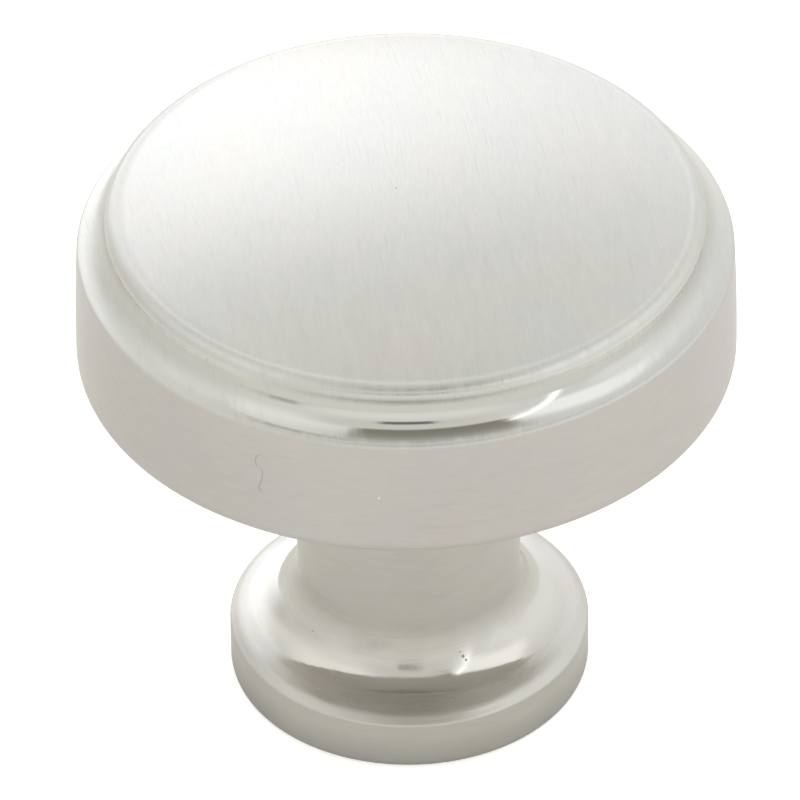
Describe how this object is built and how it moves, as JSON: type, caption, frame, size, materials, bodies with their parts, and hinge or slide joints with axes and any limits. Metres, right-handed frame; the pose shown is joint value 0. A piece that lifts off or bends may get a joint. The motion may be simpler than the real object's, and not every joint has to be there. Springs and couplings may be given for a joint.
{
  "type": "cabinet knob",
  "caption": "Round cabinet knob in satin nickel: a broad low-domed head with a cove round its rim, a slim waist to grip and a flared foot tapped for a machine screw.",
  "frame": {"origin": "centre of the foot's flat seat, where the knob's axis meets the door", "axes": "+Z along the knob's axis, from the seat to the crown of the dome; the form is round, so X and Y are free"},
  "size_m": [0.0318, 0.0318, 0.0298],
  "materials": {
    "satin_nickel": "satin nickel plate, brushed"
  },
  "bodies": {
    "root": {"knob_body": "satin_nickel"}
  },
  "joints": []
}
